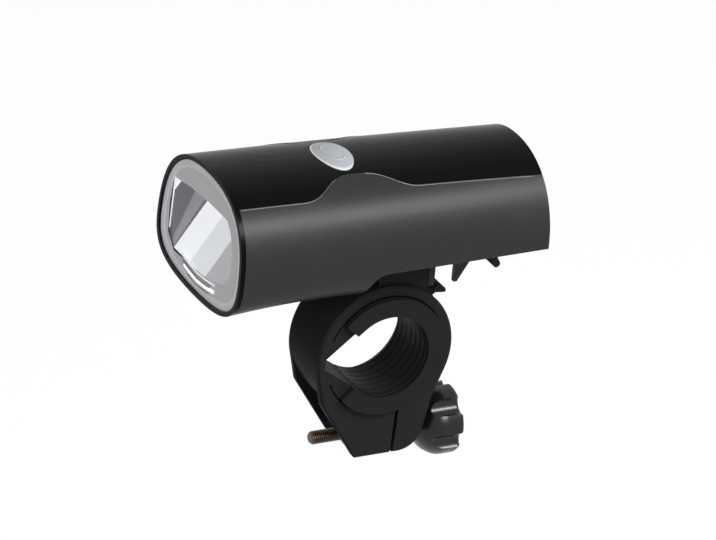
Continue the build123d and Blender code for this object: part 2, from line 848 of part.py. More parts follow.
def button():
    under = shell_wall + button_clearance
    long, wide = button_half_length + button_end_margin, button_half_width + button_side_margin
    crest = shell_sizes(button_y)[1] + button_rise
    middle = crest - button_dome_height
    dome = Pos(0, button_y, middle) * scale(Sphere(1), by=(long, wide, button_dome_height))
    dome += block(-long, long, button_y - wide, button_y + wide, board_top_z, middle)
    body = (button_prism(0) & dome) - shell_form(under + button_skin / 2)
    body += button_prism(button_flange) & (shell_form(under) - shell_form(under + button_skin))
    foot = plunger_start() + switch_plunger_height
    stem = rod_z(button_stem_diameter / 2, foot, front_top_z, y=button_y)
    return body + (stem & shell_form(under))


def battery_cells():
    cells = []
    for x, z in cell_places:
        cell = rod_y(cell_diameter / 2, cell_front_y, cell_front_y + cell_length, x, z)
        cell += rod_y(cell_tip_diameter / 2, cell_front_y + cell_length, cell_rear_y, x, z)
        cells.append(cell)
    return Compound(children=cells)


# Front end of the springs, where their common plate lies
def contact_seat():
    return cell_front_y - spring_length - contact_thickness


def contact_outline():
    reach = spring_diameter / 2
    half = cell_lower_x + reach
    return polygon([
        (-half, cell_lower_z - reach), (half, cell_lower_z - reach), (half, cell_lower_z + reach),
        (reach, cell_upper_z + reach), (-reach, cell_upper_z + reach), (-half, cell_lower_z + reach)])


def contact_plate():
    return front_solid(contact_outline(), contact_seat(), contact_seat() + contact_thickness)


def battery_cradle():
    seat = contact_seat()
    back = cell_front_y + cell_length - cradle_end
    half = cradle_half_width
    body = block(-half, half, seat - cradle_end, back, floor_z, floor_z + cradle_height)
    upper = spring_diameter / 2 + cradle_end
    body += block(-upper, upper, seat - cradle_end, seat, floor_z, cell_upper_z + upper)
    for x, z in cell_places:
        body -= rod_y(cell_diameter / 2 + cell_clearance, seat, back, x, z)
    return body - contact_plate()


def contact_springs():
    springs = []
    pitch = (spring_length - spring_wire) / spring_turns
    radius = (spring_diameter - spring_wire) / 2
    for x, z in cell_places:
        path = Helix(pitch, pitch * spring_turns, radius)
        wire = Plane(origin=path @ 0, z_dir=path % 0) * RegularPolygon(spring_wire / 2, spring_wire_sides)
        coil = sweep(wire, path=path)
        start = cell_front_y - spring_wire / 2
        springs.append(Pos(x, start, z) * Rot(90, 0, 0) * coil)
    return Compound(children=springs)


def door_contacts():
    plates = []
    for x, z in cell_places:
        front = door_inner_y - contact_thickness
        plates.append(rod_y(contact_diameter / 2, front, door_inner_y, x, z))
    return Compound(children=plates)


def battery_door():
    inset = shell_wall + door_clearance
    body = shell_slice(door_inner_y, door_outer_y, inset) - underside_cutter(inset)
    sill = door_sill_half_width
    body += block(-sill, sill, door_inner_y, door_outer_y - door_sill_step, door_sill_z,
                  floor_z + door_clearance + shell_wall)
    half = door_knuckle_half_width
    clear = half + 2 * door_knuckle_gap + door_ear_thickness
    low = door_pin_z - door_knuckle_radius - door_clearance
    body -= block(-clear, clear, door_inner_y - overrun, door_outer_y + overrun, low, rear_top_z)
    body += rod_x(door_knuckle_radius, half, shell_rear_y, door_pin_z)
    body += block(-half, half, door_inner_y, shell_rear_y, low - door_clearance, door_pin_z)
    hole = door_pin_diameter / 2 + screw_clearance
    return body - rod_x(hole, front_half_width, shell_rear_y, door_pin_z)


def door_pin():
    half = door_knuckle_half_width + door_knuckle_gap + door_ear_thickness
    return rod_x(door_pin_diameter / 2, half, shell_rear_y, door_pin_z)


def door_latch():
    boss = latch_pin_diameter / 2 + latch_boss_wall
    nose_y = door_outer_y - door_sill_step + keel_clearance
    arm_top = door_sill_z - door_clearance
    side = latch_tip_round / math.sqrt(2)
    outline = polygon([
        (latch_pin_y, latch_pin_z + boss / 2), (latch_pin_y + boss, arm_top),
        (nose_y, arm_top), (nose_y, arm_top + latch_nose_height),
        (nose_y + latch_nose_length, arm_top),
        (nose_y + latch_nose_length, arm_top - latch_arm_thickness),
        (latch_tip_y, arm_top - latch_arm_thickness - boss / 2), (latch_tip_y, latch_heel_z),
        (latch_tip_y + side, latch_tip_z + side), (latch_tip_y - side, latch_tip_z - side),
        (latch_tip_y - latch_pad_reach, latch_pad_top_z), (latch_pin_y - boss, latch_pin_z)])
    body = side_solid(outline, latch_half_width)
    body += rod_x(latch_tip_round, latch_half_width, latch_tip_y, latch_tip_z)
    body += rod_x(boss, latch_half_width, latch_pin_y, latch_pin_z)
    hole = latch_pin_diameter / 2 + screw_clearance
    return body - rod_x(hole, latch_half_width, latch_pin_y, latch_pin_z)


def latch_pin():
    return rod_x(latch_pin_diameter / 2, shoe_half_width, latch_pin_y, latch_pin_z)


shell = shell_solid()
inner_space = shell_form(shell_wall / 2) - underside_cutter(shell_wall / 2)

save("clamp_ring", clamp_ring())
save("bar_liner", bar_liner())
save("clamp_nut", clamp_nut())
save("clamp_screw", clamp_screw())
save("knob_washer", knob_washer())
save("thumb_knob", thumb_knob())
save("mount_shoe", mount_shoe())
save("shoe_screw", shoe_screw())
save("release_tongue", release_tongue())
save("lower_housing", lower_housing(shell, inner_space))
save("top_cover", top_cover(shell, inner_space))
save("cover_screws", cover_screws())
save("front_bezel", front_bezel())
save("front_lens", front_lens())
save("lens_seal", lens_seal())
save("reflector", reflector())
save("led_board", led_board())
save("led_chip", led_chip())
save("heat_sink", heat_sink())
save("circuit_board", circuit_board())
save("tact_switch", tact_switch())
save("switch_plunger", switch_plunger())
save("indicator_leds", indicator_leds())
save("button", button())
save("battery_cells", battery_cells())
save("battery_cradle", battery_cradle())
save("contact_plate", contact_plate())
save("contact_springs", contact_springs())
save("door_contacts", door_contacts())
save("battery_door", battery_door())
save("door_pin", door_pin())
save("door_latch", door_latch())
save("latch_pin", latch_pin())
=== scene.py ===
import math

import bmesh
import bpy
from mathutils import Matrix, Vector
from mathutils.bvhtree import BVHTree


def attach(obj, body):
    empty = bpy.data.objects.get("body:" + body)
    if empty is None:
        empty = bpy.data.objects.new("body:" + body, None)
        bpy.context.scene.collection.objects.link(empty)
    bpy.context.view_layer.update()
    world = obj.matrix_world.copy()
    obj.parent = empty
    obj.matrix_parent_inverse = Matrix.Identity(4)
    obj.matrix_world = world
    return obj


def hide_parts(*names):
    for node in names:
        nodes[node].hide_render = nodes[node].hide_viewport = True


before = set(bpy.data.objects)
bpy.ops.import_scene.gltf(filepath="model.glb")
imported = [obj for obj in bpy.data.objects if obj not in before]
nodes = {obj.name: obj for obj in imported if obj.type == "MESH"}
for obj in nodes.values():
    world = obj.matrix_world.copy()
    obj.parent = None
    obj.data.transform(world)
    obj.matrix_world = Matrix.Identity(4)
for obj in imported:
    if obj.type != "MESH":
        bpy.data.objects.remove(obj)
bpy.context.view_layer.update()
mm = 0.001
print("stage: frame loaded")


class Value:                                    # an output socket, so shader sums read as sums
    def __init__(self, tree, socket=None):
        self.tree = tree
        self.socket = socket

    def node(self, kind, settings=None, inputs=None, out=0):
        made = self.tree.nodes.new(kind)
        for name, value in (settings or {}).items():
            setattr(made, name, value)
        for name, value in (inputs or {}).items():
            if isinstance(value, Value):
                self.tree.links.new(value.socket, made.inputs[name])
            else:
                made.inputs[name].default_value = value
        return Value(self.tree, made.outputs[out])

    def maths(self, operation, first, second=0):
        return self.node("ShaderNodeMath", {"operation": operation}, {0: first, 1: second})

    def __add__(self, other):
        return self.maths("ADD", self, other)

    def __sub__(self, other):
        return self.maths("SUBTRACT", self, other)

    def __rsub__(self, other):
        return self.maths("SUBTRACT", other, self)

    def __mul__(self, other):
        return self.maths("MULTIPLY", self, other)

    def __truediv__(self, other):
        return self.maths("DIVIDE", self, other)

    def atLeast(self, other):
        return self.maths("MAXIMUM", self, other)

    def ramp(self, low, high):                   # 0 at low, 1 at high, smooth between
        return self.node("ShaderNodeMapRange", {"interpolation_type": "SMOOTHSTEP"},
                         {"Value": self, "From Min": low, "From Max": high})

    __radd__ = __add__
    __rmul__ = __mul__


def newMaterial(name):
    material = bpy.data.materials.new(name)
    material.use_nodes = True
    material.node_tree.nodes.clear()
    return material, Value(material.node_tree)


def finish(owner, surface, kind="ShaderNodeOutputMaterial"):
    output = owner.node_tree.nodes.new(kind)
    owner.node_tree.links.new(surface.socket, output.inputs["Surface"])
    return owner


def shaded(colour, share):
    return tuple(c * share for c in colour[:3]) + (1,)


def places(shade):                              # object coordinates, in metres
    return shade.node("ShaderNodeTexCoord", out="Object")


def grain(shade, scale, detail=2.0):
    return shade.node("ShaderNodeTexNoise", inputs={"Vector": places(shade), "Scale": scale,
                                                    "Detail": detail}, out="Fac")


def blendColours(shade, factor, first, second):
    return shade.node("ShaderNodeMix", {"data_type": "RGBA"},
                      {"Factor": factor, 6: first, 7: second}, out=2)


plastics = {                                    # colours are linear; grain sizes in grains per metre
    "housing": {"colour": (0.0105, 0.0105, 0.0115, 1), "rough": 0.40, "roughSpread": 0.05,
                "grain": 3600, "bump": 0.10, "specular": 0.14},
    "cover": {"colour": (0.0008, 0.0008, 0.0009, 1), "rough": 0.24, "roughSpread": 0.03,
              "grain": 900, "bump": 0.003, "specular": 0.05},
    "clamp": {"colour": (0.0092, 0.0092, 0.0098, 1), "rough": 0.44, "roughSpread": 0.06,
              "grain": 3000, "bump": 0.10, "specular": 0.012},
    "knob": {"colour": (0.0022, 0.0022, 0.003, 1), "rough": 0.26, "roughSpread": 0.06,
             "grain": 1800, "bump": 0.03, "specular": 0.35},
    "liner": {"colour": (0.0085, 0.0085, 0.009, 1), "rough": 0.50, "roughSpread": 0.08,
              "grain": 3600, "bump": 0.12, "specular": 0.012},
    # painted shade: the liner's rubber darkened for the inside of the bore
    "shadedBore": {"colour": (0.0028, 0.0028, 0.0028, 1), "rough": 0.38, "roughSpread": 0.08,
             "grain": 2600, "bump": 0.08, "specular": 0.03},
    "shadowGap": {"colour": (0.0008, 0.0008, 0.0008, 1), "rough": 0.8, "roughSpread": 0.05,
                  "grain": 3000, "bump": 0.05, "specular": 0.0},
    "seal": {"colour": (0.02, 0.02, 0.02, 1), "rough": 0.6, "roughSpread": 0.05,
             "grain": 3000, "bump": 0.1, "specular": 0.3},
    "switch": {"colour": (0.02, 0.02, 0.02, 1), "rough": 0.5, "roughSpread": 0.05,
               "grain": 3000, "bump": 0.05, "specular": 0.4},
    "board": {"colour": (0.02, 0.12, 0.05, 1), "rough": 0.4, "roughSpread": 0.1,
              "grain": 1500, "bump": 0.05, "specular": 0.5},
    "cell": {"colour": (0.18, 0.19, 0.2, 1), "rough": 0.25, "roughSpread": 0.05,
             "grain": 500, "bump": 0.01, "specular": 0.5},
    "led": {"colour": (0.75, 0.62, 0.12, 1), "rough": 0.25, "roughSpread": 0.05,
            "grain": 2000, "bump": 0.02, "specular": 0.5},
    # the lens band's and panel's glow is painted light on the frosted lens
    "lensBand": {"colour": (0.66, 0.66, 0.67, 1), "rough": 0.35, "roughSpread": 0.1,
                 "grain": 1600, "bump": 0.05, "specular": 0.4, "paintedGlow": 0.27},
    "lensPanel": {"colour": (0.52, 0.52, 0.53, 1), "rough": 0.45, "roughSpread": 0.1,
                  "grain": 900, "bump": 0.08, "specular": 0.4, "paintedGlow": 0.29},
    # the seam lip is a real bead; its plastic, lighter than the housing's, is a painted highlight
    "lip": {"colour": (0.016, 0.016, 0.017, 1), "rough": 0.34, "roughSpread": 0.05,
            "grain": 1600, "bump": 0.03, "specular": 0.5},
}


plasticGrain = {"fineDetail": 3.0, "broadScale": 60, "darkest": 0.85, "bumpDistance": 0.0002}


def plastic(name):
    values, shared = plastics[name], plasticGrain
    material, shade = newMaterial(name + "Plastic")
    fine = grain(shade, values["grain"], shared["fineDetail"])
    broad = grain(shade, shared["broadScale"])
    colour = blendColours(shade, broad, shaded(values["colour"], shared["darkest"]), values["colour"])
    rough = broad * values["roughSpread"] + (values["rough"] - values["roughSpread"] / 2)
    bump = shade.node("ShaderNodeBump", inputs={"Height": fine, "Strength": values["bump"],
                                               "Distance": shared["bumpDistance"]})
    # a glow value, where a plastic has one, is painted light
    return finish(material, shade.node("ShaderNodeBsdfPrincipled", inputs={
        "Base Color": colour, "Roughness": rough, "Normal": bump, "Specular IOR Level": values["specular"],
        "Emission Color": values["colour"], "Emission Strength": values.get("paintedGlow", 0)}))


metals = {
    "steel": {"colour": (0.55, 0.55, 0.56, 1), "rough": 0.30, "grain": 900},
    "bronze": {"colour": (0.13, 0.095, 0.07, 1), "rough": 0.36, "grain": 1400},
    "nickel": {"colour": (0.62, 0.60, 0.55, 1), "rough": 0.25, "grain": 900},
    "aluminium": {"colour": (0.60, 0.61, 0.63, 1), "rough": 0.38, "grain": 700},
}
metalGrain = {"detail": 4.0, "roughSpread": 0.2, "darkest": 0.7}


def metal(name):
    values, shared = metals[name], metalGrain
    material, shade = newMaterial(name + "Metal")
    fine = grain(shade, values["grain"], shared["detail"])
    rough = fine * shared["roughSpread"] + (values["rough"] - shared["roughSpread"] / 2)
    colour = blendColours(shade, fine, shaded(values["colour"], shared["darkest"]), values["colour"])
    return finish(material, shade.node("ShaderNodeBsdfPrincipled", inputs={
        "Base Color": colour, "Roughness": rough, "Metallic": 1.0}))


paintedReflectionTones = {                                 # painted reflections for the plated facets, from bright to shaded; their glow is painted light
    "bright": {"colour": (0.97, 0.97, 0.97, 1), "paintedGlow": 1.4},
    "pale": {"colour": (0.90, 0.90, 0.93, 1), "paintedGlow": 1.05},
    "grey": {"colour": (0.60, 0.60, 0.62, 1), "paintedGlow": 0.55},
    "middle": {"colour": (0.50, 0.50, 0.53, 1), "paintedGlow": 0.18},
    "dim": {"colour": (0.26, 0.26, 0.29, 1), "paintedGlow": 0.07},
}
plating = {"grain": 240, "darkest": 0.88, "rough": 0.28, "roughSpread": 0.10, "metallic": 0.7,
           "specular": 0.2}


# each tone's colour is a painted reflection, and its glow painted light
def chrome(tone):
    material, shade = newMaterial("chrome" + tone.capitalize())
    fine = grain(shade, plating["grain"])
    colour = paintedReflectionTones[tone]["colour"]
    return finish(material, shade.node("ShaderNodeBsdfPrincipled", inputs={
        "Base Color": blendColours(shade, fine, shaded(colour, plating["darkest"]), colour),
        "Roughness": fine * plating["roughSpread"] + plating["rough"], "Metallic": plating["metallic"],
        "Specular IOR Level": plating["specular"], "Emission Color": (1, 1, 1, 1),
        "Emission Strength": paintedReflectionTones[tone]["paintedGlow"]}))


clear = {"bend": 1.45, "tint": (0.97, 0.98, 0.99, 1), "gloss": (0.02, 0.02, 0.02, 1), "rough": 0.04,
         "specular": 0.8, "share": 0.5}


def clearLens():
    material, shade = newMaterial("lensClear")
    edge = shade.node("ShaderNodeFresnel", inputs={"IOR": clear["bend"]})
    through = shade.node("ShaderNodeBsdfTransparent", inputs={"Color": clear["tint"]})
    gloss = shade.node("ShaderNodeBsdfPrincipled", inputs={
        "Base Color": clear["gloss"], "Roughness": clear["rough"], "Specular IOR Level": clear["specular"]})
    return finish(material, shade.node("ShaderNodeMixShader", inputs={
        0: edge * clear["share"], 1: through, 2: gloss}))


button = {                                      # places in metres, edges as shares of the half widths
    "y": -0.0215, "halfX": 0.0124, "halfY": 0.0076, "ringFrom": 0.82, "ringTo": 0.88, "oval": 0.50,
    "ovalEdge": 0.06, "grain": 90, "body": ((0.16, 0.168, 0.178, 1), (0.20, 0.208, 0.218, 1)),
    "line": (0.24, 0.247, 0.255, 1), "lineShare": 0.5, "rim": (0.30, 0.307, 0.315, 1), "rimLift": 0.6,
    "bump": 0.6, "bumpDistance": 0.0004, "rough": 0.42, "specular": 0.35,
}


def silicone():                                 # lighter rim and a faint raised oval, both left bare
    v = button
    material, shade = newMaterial("buttonSilicone")
    split = shade.node("ShaderNodeSeparateXYZ", inputs={"Vector": places(shade)})
    across = split / v["halfX"]
    along = (Value(shade.tree, split.socket.node.outputs["Y"]) - v["y"]) / v["halfY"]
    squared = across * across + along * along
    reach = squared.maths("SQRT", squared)
    rim = reach.ramp(v["ringFrom"], v["ringTo"])
    inner, middle, outer = v["oval"] - v["ovalEdge"], v["oval"], v["oval"] + v["ovalEdge"]
    line = reach.ramp(inner, middle) - reach.ramp(middle, outer)
    body = blendColours(shade, grain(shade, v["grain"]), *v["body"])
    lined = blendColours(shade, line * v["lineShare"], body, v["line"])
    bump = shade.node("ShaderNodeBump", inputs={"Height": line + rim * v["rimLift"], "Strength": v["bump"],
                                               "Distance": v["bumpDistance"]})
    return finish(material, shade.node("ShaderNodeBsdfPrincipled", inputs={
        "Base Color": blendColours(shade, rim, lined, v["rim"]), "Roughness": v["rough"], "Normal": bump,
        "Specular IOR Level": v["specular"]}))


housing, cover, clampPlastic, knobPlastic = (plastic(n) for n in ("housing", "cover", "clamp", "knob"))
finishes = {
    "clamp_ring": clampPlastic, "bar_liner": plastic("liner"), "clamp_nut": metal("steel"),
    "clamp_screw": metal("bronze"), "knob_washer": metal("steel"), "thumb_knob": knobPlastic,
    "mount_shoe": clampPlastic, "shoe_screw": metal("steel"), "release_tongue": clampPlastic,
    "lower_housing": housing, "top_cover": cover, "cover_screws": metal("steel"),
    "front_bezel": cover, "front_lens": clearLens(), "lens_seal": plastic("seal"),
    "reflector": chrome("grey"), "led_board": metal("aluminium"), "led_chip": plastic("led"),
    "heat_sink": metal("aluminium"), "circuit_board": plastic("board"),
    "tact_switch": plastic("switch"), "switch_plunger": plastic("switch"),
    "indicator_leds": plastic("led"), "button": silicone(), "battery_cells": plastic("cell"),
    "battery_cradle": plastic("switch"), "contact_plate": metal("nickel"),
    "contact_springs": metal("nickel"), "door_contacts": metal("nickel"),
    "battery_door": housing, "door_pin": metal("steel"), "door_latch": clampPlastic,
    "latch_pin": metal("steel"),
}
for name, material in finishes.items():
    nodes[name].data.materials.clear()
    nodes[name].data.materials.append(material)
print("stage: finishes")


def addPiece(name, mesh, body, slot, material, *replaced):
    mesh.materials.append(material)
    piece = bpy.data.objects.new(name, mesh)
    bpy.context.scene.collection.objects.link(piece)
    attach(piece, body)
    if replaced:
        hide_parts(*replaced)
    return piece


def meshOf(name, points, faces, smooth=False):
    mesh = bpy.data.meshes.new(name)
    mesh.from_pydata([Vector(p) * mm for p in points], [], faces)
    mesh.validate()
    mesh.update()
    for face in mesh.polygons:
        face.use_smooth = smooth
    return mesh


def tubeFaces(rings, sides, closed=True):       # faces between rings of points that follow each other
    faces = []
    for i in range(rings - 1):
        for j in range(sides if closed else sides - 1):
            k = (j + 1) % sides
            faces.append((i * sides + j, (i + 1) * sides + j, (i + 1) * sides + k, i * sides + k))
    return faces


def circle(radius, sides):
    turns = (2 * math.pi * j / sides for j in range(sides))
    return [(radius * math.cos(turn), radius * math.sin(turn)) for turn in turns]


screw = {                                       # millimetres
    "z": -36.4, "tip": -21.2, "radius": 2.5, "root": 1.92, "pitch": 0.8, "threadEnd": 16.0,
    "tipRadius": 1.64, "tipSlope": 0.9, "flank": 1.25, "runOut": 0.4, "headAcross": 8.0,
    "headLength": 3.4, "headChamfer": 0.5, "shankEnd": 28.8, "sides": 28, "headSides": 6, "perTurn": 6,
}


def threadedScrew():
    v = screw
    sides = v["sides"]
    count = int((v["threadEnd"] - v["tip"]) / v["pitch"] * v["perTurn"])
    points = []
    for i in range(count + 1):
        y = v["tip"] + (v["threadEnd"] - v["tip"]) * i / count
        cap = v["tipRadius"] + (y - v["tip"]) * v["tipSlope"]
        for j, (across, upward) in enumerate(circle(1, sides)):
            turn = ((y - v["tip"]) / v["pitch"] - j / sides) % 1
            height = 1 - abs(2 * turn - 1)
            radius = min(v["root"] + (v["radius"] - v["root"]) * min(1, height * v["flank"]), cap)
            points.append((radius * across, y, v["z"] + radius * upward))
    for y in (v["threadEnd"] + v["runOut"], v["shankEnd"]):
        points += [(x, y, v["z"] + z) for x, z in circle(v["radius"], sides)]
    faces = tubeFaces(count + 3, sides)
    faces.append(tuple(range(sides)))
    base, corners = len(points), v["headSides"]
    corner = v["headAcross"] / 2 / math.cos(math.pi / corners)
    ends = ((v["shankEnd"], corner), (v["shankEnd"] + v["headLength"] - v["headChamfer"], corner),
            (v["shankEnd"] + v["headLength"], corner - v["headChamfer"]))
    for y, radius in ends:
        points += [(x, y, v["z"] + z) for x, z in circle(radius, corners)]
    faces += [tuple(base + k for k in face) for face in tubeFaces(len(ends), corners)]
    faces.append(tuple(base + (len(ends) - 1) * corners + k for k in range(corners)))
    faces.append(tuple(base + k for k in reversed(range(corners))))
    mesh = meshOf("threadedScrew", points, faces)
    addPiece("threadedScrew", mesh, "knob", "screw_brass", finishes["clamp_screw"], "clamp_screw")


lamp = {                                        # the lens's outline, and the lean of its plane, in mm
    "frontY": -70.6, "midZ": 52.9, "lean": 3.24, "half": 33.95, "top": 77.1, "bottom": 28.7,
    "waist": 0.64, "upperRun": 0.68, "upperRise": 0.68, "lowerRun": 0.86, "lowerRise": 0.64, "steps": 16,
}
mouth = [(-20, 36.2), (-8, 37.0), (3.5, 37.9), (12, 39.2), (19.5, 41.8), (24.2, 47.2), (23.4, 56.0),
         (20.5, 61.6), (17, 64.8), (0.9, 64.8), (-12.3, 63.9), (-26.6, 62.0), (-27.6, 51.0), (-26.2, 41.0)]


def leanY(z, depth):                            # a place behind the lens's front plane
    return lamp["frontY"] + depth + (z - lamp["midZ"]) * math.tan(math.radians(lamp["lean"]))


def lensOutline(inset):
    half, top, bottom = lamp["half"] - inset, lamp["top"] - inset, lamp["bottom"] + inset
    waist = top - lamp["waist"] * (top - bottom)
    right = []
    for end, run, rise, share in ((top, lamp["upperRun"], lamp["upperRise"], 0),
                                  (bottom, lamp["lowerRun"], lamp["lowerRise"], 1)):
        handles = [Vector((0, end)), Vector((run * half, end)),
                   Vector((half, waist + rise * (end - waist))), Vector((half, waist))]
        line = []
        for i in range(lamp["steps"] + 1):
            t = i / lamp["steps"]
            line.append(handles[0] * (1 - t) ** 3 + handles[1] * 3 * t * (1 - t) ** 2
                        + handles[2] * 3 * t * t * (1 - t) + handles[3] * t ** 3)
        right += line if share == 0 else line[-2::-1]
    return [(p.x, p.y) for p in right] + [(-p.x, p.y) for p in right[-2:0:-1]]


def plateWithHole(name, outer, inner, front, thickness):   # a leaning plate, filled between two outlines
    made = bmesh.new()
    for line in (outer, inner):
        corners = [made.verts.new(Vector((x, leanY(z, front), z)) * mm) for x, z in line]
        for i, corner in enumerate(corners):
            made.edges.new((corner, corners[(i + 1) % len(corners)]))
    bmesh.ops.triangle_fill(made, edges=made.edges[:], use_beauty=True)
    back = bmesh.ops.extrude_face_region(made, geom=made.faces[:])
    moved = [e for e in back["geom"] if isinstance(e, bmesh.types.BMVert)]
    bmesh.ops.translate(made, verts=moved, vec=(0, thickness * mm, 0))
    bmesh.ops.recalc_face_normals(made, faces=made.faces[:])
    mesh = bpy.data.meshes.new(name)
    made.to_mesh(mesh)
    made.free()
    return mesh


facetThickness = 0.3
facetDepth = 2.2                                # the outer facets' edges lie this far behind the front
# the facets' tones below name painted reflections
floorFacet = {"foot": 36.6, "footDepth": 2.0, "slope": 1.40, "topZ": 61.5,
              "edges": (-21.5, -8.5, 4.0, 25.0), "tones": ("bright", "pale", "grey")}
wallFacet = {"edgeX": -27.4, "lowZ": 41.0, "highZ": 62.0, "bands": (0, 0.10, 0.20, 0.46, 1.0),
             "tones": ("dim", "middle", "middle", "dim")}
cornerFacet = {"low": (-27.0, 42.0), "high": (-27.2, 61.5), "width": 0.55, "reach": 5.5, "drop": 4.5,
               "lift": 1.2, "depth": 1.9}
nearFacet = {"x": 26.0, "lowZ": 44.0, "highZ": 62.0}
ceilingFacet = {"farX": -26.0, "nearX": 24.0, "z": 66.0}
steps = {"rows": ((37.2, 36.7, "grey"), (36.7, 36.2, "dim"), (35.4, 34.9, "dim"), (34.9, 33.9, "pale"),
                  (33.9, 33.4, "middle"), (33.0, 32.6, "dim")),
         "left": -15.0, "right": 14.0, "leftShift": 1.6, "rightShift": 1.8, "depth": 0.86, "rise": 0.05,
         "bend": 0.033, "bendPower": 1.5}


def facetPiece(name, points, tone, *replaced):
    count = len(points) // 2
    faces = [(i, i + 1, count + i + 1, count + i) for i in range(count - 1)]
    mesh = meshOf(name, points, faces)
    piece = addPiece(name, mesh, "lamp", "reflector_chrome", paintedReflectionPlatings[tone], *replaced)
    thicken = piece.modifiers.new("thickness", "SOLIDIFY")
    thicken.thickness = facetThickness * mm
    thicken.offset = 0


def floorPoint(x, share):                       # on the plated facet that rises from the mouth's lower edge
    v = floorFacet
    z = v["foot"] + (v["topZ"] - v["foot"]) * share
    return (x, leanY(v["foot"], v["footDepth"]) + (z - v["foot"]) / v["slope"], z)


def wallPoint(across, share):                   # on the facet between the floor's edge and the far side
    v = wallFacet
    low = Vector(floorPoint(floorFacet["edges"][0], share))
    z = v["lowZ"] + (v["highZ"] - v["lowZ"]) * share
    return low.lerp(Vector((v["edgeX"], leanY(z, facetDepth), z)), across)


def makeReflector():
    edges, bands = floorFacet["edges"], wallFacet["bands"]
    replaced = ["reflector"]
    for i, tone in enumerate(floorFacet["tones"]):
        points = [floorPoint(x, share) for share in (0, 1) for x in edges[i:i + 2]]
        facetPiece("reflectorFloor" + str(i + 1), points, tone, *replaced)
        replaced = []
    for i, tone in enumerate(wallFacet["tones"]):
        points = [wallPoint(across, share) for share in (0, 1) for across in bands[i:i + 2]]
        facetPiece("reflectorWall" + str(i + 1), points, tone)
    v = cornerFacet
    (lowX, lowZ), (highX, highZ) = v["low"], v["high"]
    inX = highX + v["width"]
    corners = {"reflectorEdge": ((lowX, lowZ), (lowX + v["width"] / 2, lowZ), (highX, highZ), (inX, highZ)),
               "reflectorCorner": ((inX, highZ - v["drop"]), (inX + v["width"], highZ - v["drop"]),
                                   (inX, highZ), (highX + v["reach"], highZ + v["lift"]))}
    for name, corner in corners.items():
        facetPiece(name, [(x, leanY(z, v["depth"]), z) for x, z in corner], "bright")
    v = nearFacet
    low, high = ((v["x"], leanY(z, facetDepth), z) for z in (v["lowZ"], v["highZ"]))
    facetPiece("reflectorNearWall", [floorPoint(edges[-1], 0), low, floorPoint(edges[-1], 1), high], "grey")
    v = ceilingFacet
    far, near = ((x, leanY(v["z"], facetDepth), v["z"]) for x in (v["farX"], v["nearX"]))
    facetPiece("reflectorCeiling", [floorPoint(edges[0], 1), floorPoint(edges[-1], 1), far, near], "dim")
    v = steps
    for i, (high, low, tone) in enumerate(v["rows"]):
        left, right = v["left"] + i * v["leftShift"], v["right"] - (i % 3) * v["rightShift"]
        points = [(x, leanY(z, v["depth"] - out), z + abs(x) ** v["bendPower"] * v["bend"])
                  for z, out in ((low, v["rise"]), (high, 0)) for x in (left, left / 2, 0, right / 2, right)]
        facetPiece("reflectorStep" + str(i + 1), points, tone)


band = {"inset": 1.9, "width": 2.6, "front": 0.8, "panelFront": 1.0, "thickness": 0.2}


def makeLensBand():
    outer, inner = lensOutline(band["inset"]), lensOutline(band["inset"] + band["width"])
    plates = {"lensPanel": (inner, mouth, band["panelFront"]), "lensBand": (outer, inner, band["front"])}
    for name, (around, hole, front) in plates.items():
        mesh = plateWithHole(name, around, hole, front, band["thickness"])
        addPiece(name, mesh, "lamp", "lens_clear", plastic(name))


seam = {"from": -67.5, "to": 47.5, "count": 150, "lip": 0.32, "offset": 0.62, "sink": 0.12, "sides": 6,
        "widest": 30.0, "above": 100, "halvings": 16}


def treeOf(name):
    made = bmesh.new()
    made.from_mesh(nodes[name].data)
    tree = BVHTree.FromBMesh(made)
    made.free()
    return tree


def seamPlaces():                               # where the glossy cover ends, found from above
    upper, shell = treeOf("top_cover"), treeOf("lower_housing")
    down = Vector((0, 0, -1))
    found = []
    for i in range(seam["count"] + 1):
        y = seam["from"] + (seam["to"] - seam["from"]) * i / seam["count"]
        low, high = 0.0, seam["widest"]
        for _ in range(seam["halvings"]):
            middle = (low + high) / 2
            hit = upper.ray_cast(Vector((middle, y, seam["above"])) * mm, down)[0]
            low, high = (middle, high) if hit else (low, middle)
        hit, normal = shell.ray_cast(Vector((low + seam["offset"], y, seam["above"])) * mm, down)[:2]
        if hit:
            found.append((hit / mm, normal))
    return found


# real beads along the seam, in a lighter plastic that is a painted highlight
def makeSeamLips():
    found, sides = seamPlaces(), seam["sides"]
    for side, name in ((1, "seamLipNear"), (-1, "seamLipFar")):
        points = []
        for place, normal in found:
            out = Vector((normal.x, 0, normal.z)).normalized()
            along = Vector((-out.z, 0, out.x))
            for k in range(sides):
                angle = math.pi * (k / (sides - 1))
                around = along * math.cos(angle) + out * math.sin(angle)
                spot = place - out * seam["sink"] + around * seam["lip"]
                points.append((side * spot.x, spot.y, spot.z))
        mesh = meshOf(name, points, tubeFaces(len(found), sides, closed=False), smooth=True)
        addPiece(name, mesh, "lamp", "housing_plastic", seamHighlightPlastic)


liner = {"farX": -10.0, "radius": 15.9, "endX": -15.2, "endRadius": 18.9, "sides": 96}


